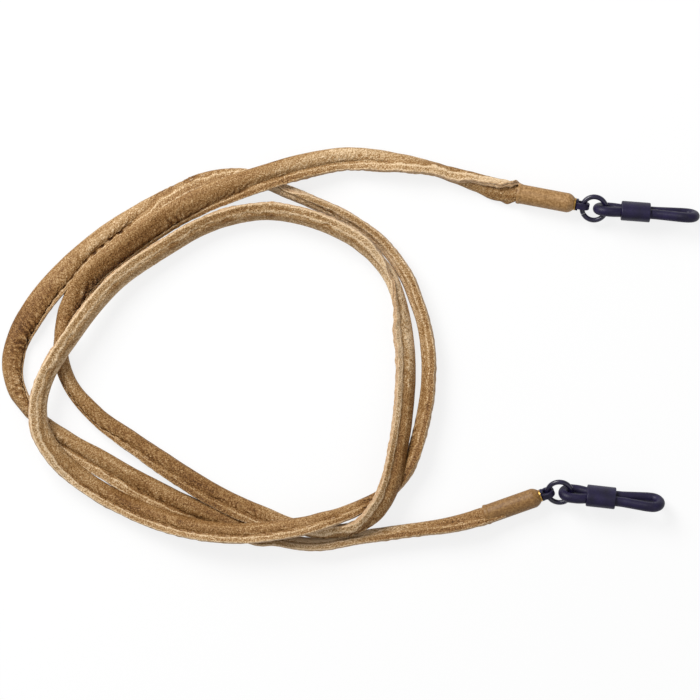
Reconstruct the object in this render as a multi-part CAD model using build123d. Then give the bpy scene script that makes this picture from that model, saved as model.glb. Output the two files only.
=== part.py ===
from build123d import *
import math
import os

# Eyeglass retainer strap: a round leather cord lying in two and a half loose turns, with a
# ferrule, a jump ring and an adjustable rubber grip loop at each end.
# Millimetres, +Z up. The strap lies on the plane z = 0, and the origin is on that plane under the
# middle of everything. "Outward" along a fitting is away from the strap, towards the grip's tip.

# Strap: a leather strip folded round a core, with the seam's thread beside the core.
COVER_RADIUS = 1.65
COVER_WALL = 0.35
CORE_RADIUS = 0.8
THREAD_RADIUS = 0.12
THREAD_LIFT = 1.13
ARC_SHARE = 0.45

# Ferrule: the tan end cap, with a socket for the strap and a bore for the crimp eyelet.
FERRULE_LENGTH = 11.6
FERRULE_RADIUS = 1.95
LIP_RADIUS = 2.05
LIP_LENGTH = 0.8
DOME_LENGTH = 1.3
DOME_END_RADIUS = 1.15
DOME_BULGE_AT = 0.66
DOME_BULGE = 0.52
SOCKET_RADIUS = 1.7
SOCKET_DEPTH = 4.0
SOCKET_END_GAP = 0.2

# Crimp eyelet: a brass tube, flared where it comes out of the ferrule.
EYELET_RADIUS = 1.07
EYELET_BORE_RADIUS = 0.93
EYELET_LENGTH = 6.6
EYELET_RIM_RADIUS = 1.25
EYELET_RIM_THICKNESS = 0.23
EYELET_FIT = 0.02

# Eye tab: a flat rubber strip folded round the jump ring, its two tails held in the eyelet, with a
# wider collar against the eyelet's rim. Its folds are at the tails' neck and at the shoulder.
TAB_THICKNESS = 0.64
TAB_WIDTH = 1.3
TAB_EDGE_ROUND = 0.2
TAB_TAIL_LENGTH = 5.6
TAB_HOLE_RADIUS = 0.78
TAB_NECK = 1.6
TAB_SHOULDER = 0.5
TAB_BEND_RADIUS = 0.9
TAB_REACH = 1.65
TAB_TAIL_GAP = 0.02
COLLAR_START = -1.37
COLLAR_LENGTH = 0.5
COLLAR_WIDTH = 2.2
COLLAR_THICKNESS = 1.5
COLLAR_EDGE_ROUND = 0.25

# Jump ring: round wire, cut once.
RING_RADIUS = 2.4
RING_WIRE_RADIUS = 0.5
RING_CUT_ANGLE = 4.0

# Grip loop: a closed loop of round rubber cord, seen from the side as a long link.
GRIP_CORD_RADIUS = 1.0
GRIP_REACH = 18.8
GRIP_BIGHT_HALF = 1.65
GRIP_WAIST_HALF = 1.06
GRIP_TIP_HALF = 1.75
GRIP_SHOULDER = 1.4
GRIP_WAIST_START = 3.7
GRIP_WAIST_END = 10.2
GRIP_TIP_START = 15.2
GRIP_BEND_RADIUS = 3.0
GRIP_END_FLAT = 0.02

# Slide sleeve: an oval rubber tube with a slot for the loop's two strands.
SLEEVE_LENGTH = 5.8
SLEEVE_CENTRE = 5.95
SLEEVE_HALF_WIDTH = 2.8
SLEEVE_HALF_THICKNESS = 1.9
SLEEVE_SLOT_HALF = 1.38
SLEEVE_SLOT_RADIUS = 1.06
SLEEVE_EDGE_ROUND = 0.22

# The strap's route: x, y and how far the strap is lifted off the surface that it lies on.
# The first and last two points are in line with the ferrules.
ROUTE = [
    # out of ferrule A, and leftwards over the outer turn
    (37.0, 31.1, 0.7), (29.1, 32.6, 0.2), (20.6, 35.3, 0.0), (10.6, 37.7, 0.0), (-0.4, 39.1, 0.2),
    (-10.4, 37.1, 2.1), (-18.0, 34.9, 3.5), (-26.0, 32.4, 3.6), (-34.0, 28.8, 3.5),
    (-40.4, 24.9, 2.7), (-46.8, 20.3, 1.5), (-53.2, 15.1, 0.7),
    # first left-hand bend, and back along the inside
    (-57.2, 8.9, 0.1), (-58.6, 1.9, 0.0), (-56.8, -5.5, 0.0), (-51.8, -12.5, 0.0),
    (-44.4, -17.8, 0.0), (-36.4, -23.1, 0.0), (-28.0, -28.5, 0.0), (-19.4, -32.4, 0.1),
    # under the inner turn, over the last stretch, and up the right-hand side
    (-12.2, -34.9, 0.2), (-5.6, -36.0, 2.2), (0.3, -35.0, 2.7), (4.9, -31.3, 3.5),
    (7.3, -25.7, 3.5), (9.2, -18.5, 2.1), (10.5, -10.5, 0.7), (11.0, -2.5, 0.2),
    (10.4, 5.5, 0.5), (8.4, 13.0, 1.9),
    # inner turn: the top, and down over both strands on the left
    (4.6, 19.2, 2.5), (-1.4, 24.0, 2.5), (-8.8, 27.1, 2.1), (-16.0, 28.6, 0.9),
    (-23.4, 27.8, 0.5), (-30.8, 25.2, 0.5), (-38.4, 20.5, 0.7), (-46.0, 15.6, 1.5),
    (-52.0, 9.3, 2.9), (-57.2, 1.7, 3.7), (-61.6, -5.3, 3.7), (-63.2, -11.9, 3.6),
    # along the bottom, over two strands, and down under the right-hand side
    (-61.2, -18.7, 3.1), (-55.8, -24.7, 1.6), (-48.8, -29.1, 0.7), (-40.4, -32.9, 1.5),
    (-31.4, -35.5, 3.1), (-22.4, -36.3, 3.7), (-13.8, -35.7, 4.0), (-6.8, -33.8, 4.8),
    (-1.8, -31.8, 3.1), (3.0, -30.0, 0.2), (8.1, -27.5, 0.0), (11.9, -22.2, 0.0),
    # outer turn: up the right-hand side and over the top
    (14.2, -15.1, 0.0), (15.5, -7.5, 0.0), (15.6, 0.5, 0.0), (13.8, 8.1, 0.0),
    (10.4, 15.5, 0.0), (5.8, 22.0, 0.0), (-1.0, 26.9, 0.0), (-8.4, 30.4, 0.0),
    (-16.0, 33.4, 0.0), (-23.0, 34.6, 0.0), (-29.8, 33.6, 0.0), (-37.0, 30.6, 0.0),
    (-45.0, 26.0, 0.0), (-52.4, 20.7, 0.0), (-59.2, 14.3, 0.0), (-64.8, 7.3, 0.0),
    # last left-hand bend, along the bottom, and into ferrule B
    (-67.9, 0.1, 0.0), (-67.7, -6.9, 0.0), (-63.8, -12.9, 0.0), (-57.4, -17.8, 0.0),
    (-49.4, -22.4, 0.0), (-40.8, -27.4, 0.0), (-32.0, -31.6, 0.0), (-23.0, -35.2, 0.0),
    (-14.6, -38.0, 0.0), (-6.8, -39.0, 0.0), (0.2, -37.6, 0.0), (7.4, -36.2, 0.0),
    (14.4, -35.4, 0.0), (22.8, -33.9, 0.2), (30.4, -31.2, 0.6),
]

# Each end: the route's last point and its neighbour, the way the grip loop points in plan, how far
# the ring, tab and loop are rolled about that way, and where on the ring the eye and the cut are.
ENDS = {
    "a": {"route": (ROUTE[0], ROUTE[1]), "yaw": -4.3, "roll": 16.0, "eye_at": 170.0, "cut_at": 210.0},
    "b": {"route": (ROUTE[-1], ROUTE[-2]), "yaw": -6.3, "roll": 31.0, "eye_at": 192.0, "cut_at": -51.0},
}


def centre_line():
    """Straight runs joined by tangent arcs, each arc as large as its two runs allow."""
    points = [Vector(x, y, lift + COVER_RADIUS) for x, y, lift in ROUTE]
    radii = []
    for before, here, after in zip(points, points[1:], points[2:]):
        turn = (here - before).get_angle(after - here)
        shorter = min((here - before).length, (after - here).length)
        radii.append(ARC_SHARE * shorter / math.tan(math.radians(turn / 2)))
    print("strap arc radii, mm:", [round(radius, 1) for radius in radii])
    return FilletPolyline(*points, radius=radii)


def tube(path, radius):
    """A round solid swept along a path."""
    return sweep(Plane(origin=path @ 0, z_dir=path % 0) * Circle(radius), path=path)


def strap_parts():
    """The folded leather cover as a tube, the core inside it, and the seam's thread."""
    path = centre_line()
    print("strap length, mm:", round(path.length, 1))
    cover = tube(path, COVER_RADIUS) - tube(path, COVER_RADIUS - COVER_WALL)
    thread_path = path.moved(Location((0, 0, THREAD_LIFT)))
    return {
        "strap_cover": cover,
        "strap_core": tube(path, CORE_RADIUS),
        "seam_thread": tube(thread_path, THREAD_RADIUS),
    }


def turned(outline):
    """A closed outline, in x along the axis and y as radius, turned round the X axis."""
    return revolve(make_face(outline), axis=Axis.X)


def ferrule():
    """The end cap, from its strap end at x = 0 to the end of its dome."""
    dome_start = FERRULE_LENGTH - DOME_LENGTH
    dome_drop = FERRULE_RADIUS - DOME_END_RADIUS
    bore = EYELET_RADIUS + EYELET_FIT
    socket_end = SOCKET_DEPTH + SOCKET_END_GAP
    lip = ThreePointArc((0, FERRULE_RADIUS), (LIP_LENGTH / 2, LIP_RADIUS), (LIP_LENGTH, FERRULE_RADIUS))
    dome = ThreePointArc(
        (dome_start, FERRULE_RADIUS),
        (dome_start + DOME_BULGE_AT * DOME_LENGTH, FERRULE_RADIUS - (1 - DOME_BULGE) * dome_drop),
        (FERRULE_LENGTH, DOME_END_RADIUS),
    )
    side = Line(lip @ 1, dome @ 0)
    inside = Polyline(
        dome @ 1,
        (FERRULE_LENGTH, bore),
        (socket_end, bore),
        (socket_end, SOCKET_RADIUS),
        (0, SOCKET_RADIUS),
        lip @ 0,
    )
    return turned(lip + side + dome + inside)


def crimp_eyelet():
    """The brass tube, its flared rim against the end of the ferrule's dome."""
    inner_end = FERRULE_LENGTH - EYELET_LENGTH
    rim_start = FERRULE_LENGTH + EYELET_FIT
    rim_end = rim_start + EYELET_RIM_THICKNESS
    return turned(
        Polyline(
            (inner_end, EYELET_BORE_RADIUS),
            (rim_end, EYELET_BORE_RADIUS),
            (rim_end, EYELET_RIM_RADIUS),
            (rim_start, EYELET_RIM_RADIUS),
            (rim_start, EYELET_RADIUS),
            (inner_end, EYELET_RADIUS),
            close=True,
        )
    )


def eye_tab():
    """The folded strip and its collar, centred on the ring's wire, the tails reaching along -X."""
    tail = (TAB_THICKNESS + TAB_TAIL_GAP) / 2
    bight = TAB_HOLE_RADIUS + TAB_THICKNESS / 2
    upper = [(-TAB_TAIL_LENGTH, tail), (-TAB_NECK, tail), (-TAB_SHOULDER, bight), (bight, bight)]
    lower = [(x, -z) for x, z in reversed(upper)]
    fold = bight - TAB_TAIL_GAP / 2
    radii = [TAB_BEND_RADIUS, TAB_BEND_RADIUS, fold, fold, TAB_BEND_RADIUS, TAB_BEND_RADIUS]
    strip = FilletPolyline(*upper, *lower, radius=radii)
    solid = extrude(Plane.XZ * trace(strip, TAB_THICKNESS), TAB_WIDTH / 2, both=True)
    sides = [face for face in solid.faces() if abs(face.normal_at().Y) > 0.99]
    folded = fillet([edge for face in sides for edge in face.edges()], TAB_EDGE_ROUND)
    collar = Box(COLLAR_LENGTH, COLLAR_WIDTH, COLLAR_THICKNESS)
    collar = fillet(collar.edges().filter_by(Axis.X), COLLAR_EDGE_ROUND)
    return folded + Pos(X=COLLAR_START + COLLAR_LENGTH / 2) * collar


def jump_ring(cut_at):
    """The ring in the XY plane round the origin, open by a narrow cut at one angle."""
    ring = Torus(RING_RADIUS, RING_WIRE_RADIUS, major_angle=360 - RING_CUT_ANGLE)
    return Rot(Z=cut_at + RING_CUT_ANGLE / 2) * ring


def grip_loop():
    """The cord loop in the XZ plane, bent round the ring's wire at the origin."""
    tip = GRIP_REACH - GRIP_CORD_RADIUS
    upper = [
        (-GRIP_BIGHT_HALF, GRIP_BIGHT_HALF),
        (GRIP_SHOULDER, GRIP_BIGHT_HALF),
        (GRIP_WAIST_START, GRIP_WAIST_HALF),
        (GRIP_WAIST_END, GRIP_WAIST_HALF),
        (GRIP_TIP_START, GRIP_TIP_HALF),
        (tip, GRIP_TIP_HALF),
    ]
    bend = GRIP_BEND_RADIUS
    radii = [GRIP_BIGHT_HALF - GRIP_END_FLAT, bend, bend, bend, bend, GRIP_TIP_HALF - GRIP_END_FLAT]
    corners = [(x, 0, z) for x, z in upper] + [(x, 0, -z) for x, z in reversed(upper)]
    return tube(FilletPolyline(*corners, radius=radii + radii[::-1], close=True), GRIP_CORD_RADIUS)


def slide_sleeve():
    """The oval sleeve round both strands of the loop, its slot along Z."""
    outline = Ellipse(SLEEVE_HALF_THICKNESS, SLEEVE_HALF_WIDTH)
    body = extrude(Plane.YZ * outline, SLEEVE_LENGTH / 2, both=True)
    ends = body.faces().filter_by(Axis.X)
    body = fillet(ends.edges(), SLEEVE_EDGE_ROUND)
    slot = SlotCenterToCenter(2 * SLEEVE_SLOT_HALF, 2 * SLEEVE_SLOT_RADIUS, rotation=90)
    body -= extrude(Plane.YZ * slot, SLEEVE_LENGTH, both=True)
    return Pos(X=SLEEVE_CENTRE) * body


def end_frames(end):
    """Where an end's ferrule, eye tab, ring and grip loop are, each with +X outward."""
    inner, outer = (Vector(x, y, lift + COVER_RADIUS) for x, y, lift in end["route"])
    outward = (inner - outer).normalized()
    level = outward.cross(Vector(0, 0, 1)).normalized()
    mouth_plane = Plane(origin=inner - outward * SOCKET_DEPTH, x_dir=outward, z_dir=level.cross(outward))
    cap = Location(mouth_plane)
    eye = cap * Pos(X=FERRULE_LENGTH + TAB_REACH) * Rot(X=end["roll"])
    turn = Rot(Z=end["yaw"]) * Rot(X=end["roll"])
    eye_angle = math.radians(end["eye_at"])
    eye_on_ring = Pos(RING_RADIUS * math.cos(eye_angle), RING_RADIUS * math.sin(eye_angle), 0)
    ring = Pos(eye.position) * turn * eye_on_ring.inverse()
    return {"cap": cap, "eye": eye, "ring": ring, "grip": ring * Pos(X=RING_RADIUS)}


def print_joints(name, end, frames):
    """The joints' and mounts' places and directions in metres, for the record."""
    ring = frames["ring"]
    angle = math.radians(end["eye_at"])
    facts = {
        "ring hinge": (frames["eye"], (-math.sin(angle), math.cos(angle), 0)),
        "grip swivel": (ring, (0, 0, 1)),
        "sleeve slide": (frames["grip"] * Pos(X=SLEEVE_CENTRE), (1, 0, 0)),
        "temple opening": (frames["grip"] * Pos(X=(GRIP_WAIST_END + GRIP_REACH) / 2), (0, 1, 0)),
    }
    for fact, (place, way) in facts.items():
        at = [round(value / 1000, 6) for value in place.position]
        axis = [round(value, 5) for value in (ring * Pos(way)).position - ring.position]
        print(f"end {name} {fact}: at {at}, axis {axis}")


def end_parts(name, end):
    """The six pieces of one end, in place."""
    frames = end_frames(end)
    print_joints(name, end, frames)
    return {
        f"ferrule_{name}": frames["cap"] * ferrule(),
        f"crimp_eyelet_{name}": frames["cap"] * crimp_eyelet(),
        f"eye_tab_{name}": frames["eye"] * eye_tab(),
        f"jump_ring_{name}": frames["ring"] * jump_ring(end["cut_at"]),
        f"grip_loop_{name}": frames["grip"] * grip_loop(),
        f"slide_sleeve_{name}": frames["grip"] * slide_sleeve(),
    }


parts = strap_parts()
for end_name, end_data in ENDS.items():
    parts.update(end_parts(end_name, end_data))

os.makedirs("parts", exist_ok=True)
for node, shape in parts.items():
    export_step(shape, f"parts/{node}.step")
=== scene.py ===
import math

import bmesh
import bpy
from mathutils import Matrix, Vector, noise


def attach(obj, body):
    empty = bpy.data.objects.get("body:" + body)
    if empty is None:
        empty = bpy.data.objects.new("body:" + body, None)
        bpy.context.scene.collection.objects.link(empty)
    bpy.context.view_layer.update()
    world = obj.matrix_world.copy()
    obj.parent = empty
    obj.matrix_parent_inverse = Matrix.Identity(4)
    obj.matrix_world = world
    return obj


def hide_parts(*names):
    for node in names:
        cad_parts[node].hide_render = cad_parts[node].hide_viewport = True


# Eyeglass retainer strap: a strip of soft leather folded round a cotton core and stitched along one
# side, lying in two and a half loose turns, with a ferrule, ring and rubber temple loop at each end.
# Metres, +Z up, in the part's own frame.

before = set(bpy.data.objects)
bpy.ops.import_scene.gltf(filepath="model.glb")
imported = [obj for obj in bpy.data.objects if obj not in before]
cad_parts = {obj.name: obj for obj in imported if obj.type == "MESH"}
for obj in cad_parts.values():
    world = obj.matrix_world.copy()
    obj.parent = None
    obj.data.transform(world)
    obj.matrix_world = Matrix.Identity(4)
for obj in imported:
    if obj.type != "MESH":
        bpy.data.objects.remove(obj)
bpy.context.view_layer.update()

MM = 0.001

# The view: straight down on a square of the surface.
VIEW_WIDTH = 140 * MM
VIEW_CENTRE = Vector((-0.4, 0.5, 2.5)) * MM
CAMERA_HEIGHT = 1.2

# The studio: a wide sheet of paper in metres, how much of it is seen as plain white, and the sky.
PAPER_SIZE = 3
PAPER_WHITE = 0.8
SKY_STRENGTH = 0.42

# The strap's route, as the part lays it: x, y and lift off the surface, in millimetres.
ROUTE_RADIUS = 1.65
ROUTE = [
    # out of ferrule A, and leftwards over the outer turn
    (37.0, 31.1, 0.7), (29.1, 32.6, 0.2), (20.6, 35.3, 0.0), (10.6, 37.7, 0.0), (-0.4, 39.1, 0.2),
    (-10.4, 37.1, 2.1), (-18.0, 34.9, 3.5), (-26.0, 32.4, 3.6), (-34.0, 28.8, 3.5),
    (-40.4, 24.9, 2.7), (-46.8, 20.3, 1.5), (-53.2, 15.1, 0.7),
    # first left-hand bend, and back along the inside
    (-57.2, 8.9, 0.1), (-58.6, 1.9, 0.0), (-56.8, -5.5, 0.0), (-51.8, -12.5, 0.0),
    (-44.4, -17.8, 0.0), (-36.4, -23.1, 0.0), (-28.0, -28.5, 0.0), (-19.4, -32.4, 0.1),
    # under the inner turn, over the last stretch, and up the right-hand side
    (-12.2, -34.9, 0.2), (-5.6, -36.0, 2.2), (0.3, -35.0, 2.7), (4.9, -31.3, 3.5),
    (7.3, -25.7, 3.5), (9.2, -18.5, 2.1), (10.5, -10.5, 0.7), (11.0, -2.5, 0.2),
    (10.4, 5.5, 0.5), (8.4, 13.0, 1.9),
    # inner turn: the top, and down over both strands on the left
    (4.6, 19.2, 2.5), (-1.4, 24.0, 2.5), (-8.8, 27.1, 2.1), (-16.0, 28.6, 0.9),
    (-23.4, 27.8, 0.5), (-30.8, 25.2, 0.5), (-38.4, 20.5, 0.7), (-46.0, 15.6, 1.5),
    (-52.0, 9.3, 2.9), (-57.2, 1.7, 3.7), (-61.6, -5.3, 3.7), (-63.2, -11.9, 3.6),
    # along the bottom, over two strands, and down under the right-hand side
    (-61.2, -18.7, 3.1), (-55.8, -24.7, 1.6), (-48.8, -29.1, 0.7), (-40.4, -32.9, 1.5),
    (-31.4, -35.5, 3.1), (-22.4, -36.3, 3.7), (-13.8, -35.7, 4.0), (-6.8, -33.8, 4.8),
    (-1.8, -31.8, 3.1), (3.0, -30.0, 0.2), (8.1, -27.5, 0.0), (11.9, -22.2, 0.0),
    # outer turn: up the right-hand side and over the top
    (14.2, -15.1, 0.0), (15.5, -7.5, 0.0), (15.6, 0.5, 0.0), (13.8, 8.1, 0.0),
    (10.4, 15.5, 0.0), (5.8, 22.0, 0.0), (-1.0, 26.9, 0.0), (-8.4, 30.4, 0.0),
    (-16.0, 33.4, 0.0), (-23.0, 34.6, 0.0), (-29.8, 33.6, 0.0), (-37.0, 30.6, 0.0),
    (-45.0, 26.0, 0.0), (-52.4, 20.7, 0.0), (-59.2, 14.3, 0.0), (-64.8, 7.3, 0.0),
    # last left-hand bend, along the bottom, and into ferrule B
    (-67.9, 0.1, 0.0), (-67.7, -6.9, 0.0), (-63.8, -12.9, 0.0), (-57.4, -17.8, 0.0),
    (-49.4, -22.4, 0.0), (-40.8, -27.4, 0.0), (-32.0, -31.6, 0.0), (-23.0, -35.2, 0.0),
    (-14.6, -38.0, 0.0), (-6.8, -39.0, 0.0), (0.2, -37.6, 0.0), (7.4, -36.2, 0.0),
    (14.4, -35.4, 0.0), (22.8, -33.9, 0.2), (30.4, -31.2, 0.6),
]
SPLINE_STEPS = 16
STRAP_LENGTH = 677 * MM
# Stations along the strap: millimetres from one to the next, and how many stations each side give
# the way it goes and how tightly it bends.
STATION_STEP = 0.3
WAY_REACH = 2
BEND_REACH = 8
# The leather's pattern counts once round the section, which is this long at the spacing that its
# points have on the tube, and once for each length along the strap, in millimetres.
PATTERN_GIRTH = 21
PATTERN_LENGTH = 10

# How the strap lies at places counted in route points: the angle of its seam about its own line
# (0 to the left of the way travelled, 90 up, 180 to the right), how much further than that the
# seam flange leans over, the flange's share of its full width, how far the tube sits to the left
# of the route in millimetres, the tube's share of its usual width, and how pale the flange is
# rubbed.
LIE = [
    # drawn into ferrule A with the flange folded back over the tube, and rolling to the left
    (0, 165, 0, 0.0, 0.0, 1.0, 1.0), (0.5, 165, -30, 0.3, 0.05, 1.05, 1.0),
    (0.75, 162, -90, 0.8, 0.35, 1.35, 1.0), (1.1, 158, -105, 0.95, 0.4, 1.3, 1.0),
    (1.5, 150, -112, 1.05, 0.05, 1.1, 1.0), (2.0, 140, -118, 1.3, -0.15, 0.9, 1.0),
    (2.4, 115, -95, 1.1, -0.4, 0.9, 1.0), (3.0, 80, -58, 1.2, -0.75, 0.95, 0.9),
    (3.5, 45, -25, 1.05, -0.75, 1.0, 0.9),
    # over the outer turn with the flange on the inside
    (4.2, 20, -5, 0.9, -0.85, 1.0, 0.9), (5, 14, 0, 1.05, -0.95, 1.0, 0.9),
    (6, 8, 0, 1.05, -0.85, 1.03, 0.7), (7, -10, 0, 0.8, -0.4, 1.2, 0.4), (8, -22, 0, 0.6, -0.2, 1.35, 0.2),
    (9.5, -26, 0, 0.5, -0.05, 1.42, 0.1), (11, -26, 0, 0.5, 0.0, 1.38, 0.1),
    (12, -12, 0, 0.5, 0.05, 1.15, 0.1),
    # under the inner turn, where it rolls over, and back along the inside
    (12.6, 20, 0, 0.25, 0.0, 0.95, 0.1), (13.3, 165, 0, 0.2, -0.3, 0.9, 0.1),
    (14, 175, 0, 0.2, -0.35, 0.9, 0.1), (15, 172, 5, 0.25, 0.1, 1.0, 0.2),
    (16, 152, 22, 0.68, 0.6, 1.0, 0.2), (17, 150, 24, 0.86, 0.6, 1.0, 0.3),
    (19, 150, 22, 0.9, 0.55, 1.0, 0.3), (20, 135, -20, 0.3, 0.2, 1.0, 0.7),
    # crumpled where it turns upwards, then leaning inwards on the right-hand side
    (20.6, 118, -85, 0.9, 0.0, 0.95, 0.9), (21.3, 115, -90, 1.05, -0.1, 0.9, 0.9),
    (22.1, 105, -80, 1.0, -0.5, 0.92, 0.9), (23, 62, -30, 1.0, -1.05, 1.05, 0.9),
    (24, 50, -20, 0.97, -1.25, 1.05, 0.8), (25, 50, -20, 0.92, -0.75, 1.0, 0.8),
    (26.8, 50, -20, 0.93, -0.46, 1.0, 0.8), (27.9, 52, -18, 0.93, -0.3, 0.98, 0.8),
    (28.6, 62, -8, 0.6, -0.35, 0.85, 0.8),
    # inner turn: the flange folded over outwards
    (29.3, 86, 30, 0.4, -0.5, 0.85, 0.8), (29.9, 90, 70, 0.8, -0.2, 0.9, 0.7),
    (30.5, 89, 74, 1.15, 0.05, 0.97, 0.7), (31.3, 88, 76, 1.2, 0.35, 1.0, 0.7),
    (33, 87, 77, 1.3, 0.6, 1.0, 0.6), (38, 87, 77, 1.3, 0.6, 1.0, 0.6),
    (39.5, 88, 76, 1.2, 0.35, 1.0, 0.6), (41, 92, 70, 1.25, 0.55, 1.03, 0.7),
    (42, 118, 48, 1.05, 0.7, 1.03, 0.7),
    # along the bottom, opening out, and over the last stretch
    (43, 148, 22, 0.72, 0.85, 1.05, 0.7), (44, 148, 22, 0.74, 0.72, 1.03, 0.7),
    (45.2, 148, 22, 0.82, 0.65, 1.0, 0.6), (47, 140, 26, 0.8, 0.6, 1.0, 0.6),
    (48, 130, 35, 0.81, 0.7, 1.0, 0.6), (49, 115, 48, 0.85, 0.25, 1.0, 0.5),
    (50, 105, 56, 0.72, -0.3, 1.0, 0.5), (51, 98, 62, 0.7, -0.25, 0.95, 0.5),
    (52, 90, 68, 0.8, 0.0, 0.95, 0.5),
    # outer turn: up beside the right-hand side with the flange folded over
    (53, 86, 72, 1.05, 0.35, 1.0, 0.5), (54, 86, 72, 1.0, 0.43, 1.0, 0.4),
    (56, 88, 70, 0.95, 0.3, 0.97, 0.4), (57, 90, 70, 0.85, 0.0, 0.95, 0.4),
    (58, 90, 70, 0.87, -0.3, 1.0, 0.4), (60, 90, 70, 0.8, -0.1, 1.0, 0.2),
    (61, 92, 68, 0.7, 0.0, 0.95, 0.2), (61.6, 95, 40, 0.3, 0.0, 0.95, 0.4),
    # under the first stretch, and out on its other side, rolling back over its top
    (62.2, 135, -80, 0.4, -0.5, 0.95, 0.6), (62.9, 150, -120, 1.1, -0.75, 1.0, 0.8),
    (64, 140, -115, 1.5, -0.8, 1.0, 0.7), (65, 100, -76, 1.4, -0.9, 1.0, 0.7),
    (65.6, 50, -25, 1.15, -0.85, 1.0, 0.3), (66.2, 18, 0, 0.9, -0.8, 1.03, 0.0),
    (67, 16, 0, 0.85, -0.7, 1.1, 0.0), (68, 14, 0, 0.5, -0.25, 1.4, 0.0),
    (69, 10, 0, 0.3, -0.05, 1.52, 0.0), (70, -5, 0, 0.25, -0.2, 1.3, 0.2),
    (71, 0, 0, 0.2, -0.18, 1.1, 0.1), (71.8, 40, 0, 0.2, 0.0, 0.95, 0.2),
    # last stretch, ending with the flange folded over into ferrule B
    (72.4, 160, 0, 0.3, 0.3, 0.95, 0.3), (73, 174, 0, 0.9, 0.5, 0.95, 0.4),
    (74, 176, 0, 1.12, 0.7, 1.0, 0.4), (75, 176, 0, 1.15, 0.65, 1.1, 0.3),
    (76.4, 174, 0, 0.85, 0.6, 1.05, 0.3), (77.4, 150, 10, 0.7, 0.5, 1.0, 0.3),
    (78, 100, 62, 0.66, 0.35, 0.95, 0.3), (80, 92, 68, 0.72, 0.35, 0.95, 0.4),
    (81, 92, 68, 0.8, 0.15, 0.95, 0.4), (82, 92, 68, 0.8, 0.15, 0.97, 0.4),
    (83, 110, 50, 0.85, 0.25, 1.05, 0.4), (83.5, 140, 25, 0.4, 0.1, 1.05, 0.4),
    (84, 160, 0, 0.0, 0.0, 1.0, 0.4),
]

# How light the leather is at places counted in route points, on the tube near its seam, on the
# tube away from the seam, and on the flange. These are painted light and shade, set place by place:
# darker where a side of the strap faces away from the light, lighter where it is lit, and lifted
# where a strand lying over it casts its shadow.
TONES = [
    (0, -0.3, -0.3, 0.2), (1, -0.1, -0.1, 1.3), (2, 0.0, 0.2, 0.6), (3, 0.7, 0.9, 0.6),
    (4, 0.9, 0.4, 0.2), (5.3, 0.3, -0.3, -0.7), (7, -0.3, -0.2, -0.3), (8, -0.6, -0.3, -0.3),
    (11.3, -0.6, -0.1, 0.1), (12.3, -0.2, 0.0, 0.2), (13, -0.1, 0.0, 0.0), (14, 0.1, -0.2, -0.5),
    (15, -0.4, -0.6, -0.7), (16, -0.4, -0.4, -0.3), (18, -0.8, -0.8, -1.2), (19.3, -0.1, 0.0, 0.0),
    (20.2, 0.4, 1.0, 0.8), (21.5, 0.0, 2.5, 0.7), (23, 0.0, 0.0, 0.7), (24.3, -0.9, -1.0, 0.0),
    (26, -0.1, -0.1, 1.0), (28, 1.6, 1.6, 1.8), (29, 2.0, 1.8, 1.5), (30.5, 1.0, 1.0, 0.8),
    (32, 0.7, 0.7, 0.2), (34.5, 0.4, 0.4, -0.2), (37.5, 1.0, 1.0, 0.4), (41, 0.9, 0.9, 0.5),
    (43, 0.1, -0.1, 1.1), (44.3, -0.6, -0.8, 0.3), (46, -0.6, -0.6, 0.2), (47.3, -0.3, -0.4, 0.3),
    (48.5, -0.4, -0.6, -0.3), (50.3, 0.0, -0.4, -0.5), (51, -0.9, -1.1, -1.4),
    (52.3, -0.7, -1.0, -1.2), (54.5, 0.0, -0.3, -0.9), (56.5, 0.8, 0.3, -0.2), (59, 1.9, 1.7, 0.1),
    (61.3, 1.4, 1.5, 0.6), (62.1, 2.2, 2.2, 1.3), (63.5, 0.3, 0.3, 0.0), (64.5, -0.1, -0.1, 0.0),
    (66, 0.6, 0.3, -0.1), (67.6, -0.1, 0.0, 0.0), (68.5, -0.6, -0.5, 0.2), (69.5, -1.1, -1.0, -0.2),
    (71, -0.1, 0.1, 0.7), (73, 0.1, 0.1, 0.3), (75, -0.2, -0.2, 0.0), (76.3, -0.7, -0.7, -0.6),
    (77.2, -0.6, -0.6, -0.5), (78.5, 2.3, 2.0, 0.9), (80, 2.8, 2.2, 0.3), (81, 0.9, 0.6, -0.9),
    (82.5, -0.3, -0.3, -0.8), (84, -0.4, -0.4, -0.4),
]

# How strongly the leather wrinkles at places counted in route points: least where it comes out of
# ferrule A and at the foot of the right-hand side.
WRINKLED = [
    (0, 1.0), (2, 0.7), (3, 0.4), (5, 0.45), (6.5, 0.9), (20, 1.0), (20.8, 1.2), (22, 1.0),
    (22.8, 0.25), (25.5, 0.25), (27, 1.0), (84, 1.0),
]

# The strap's section in millimetres: an oval tube, half sizes along and across the flange, and the
# flat flange of two layers beside it, sewn together where it leaves the tube. The flange's root is
# where its own width begins to count, and it leans over in the bend that starts at LEAN_FROM.
TUBE_HALF_LONG = 1.62
TUBE_HALF_SHORT = 1.3
FLANGE_ROOT = TUBE_HALF_LONG * 0.85
SEAM_AT = 1.86
LEAN_FROM = 1.62
LEAN_OVER = 0.6
FLANGE_END = 3.4
FLANGE_HALF = 0.6
SEAM_HALF = 0.4

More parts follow.
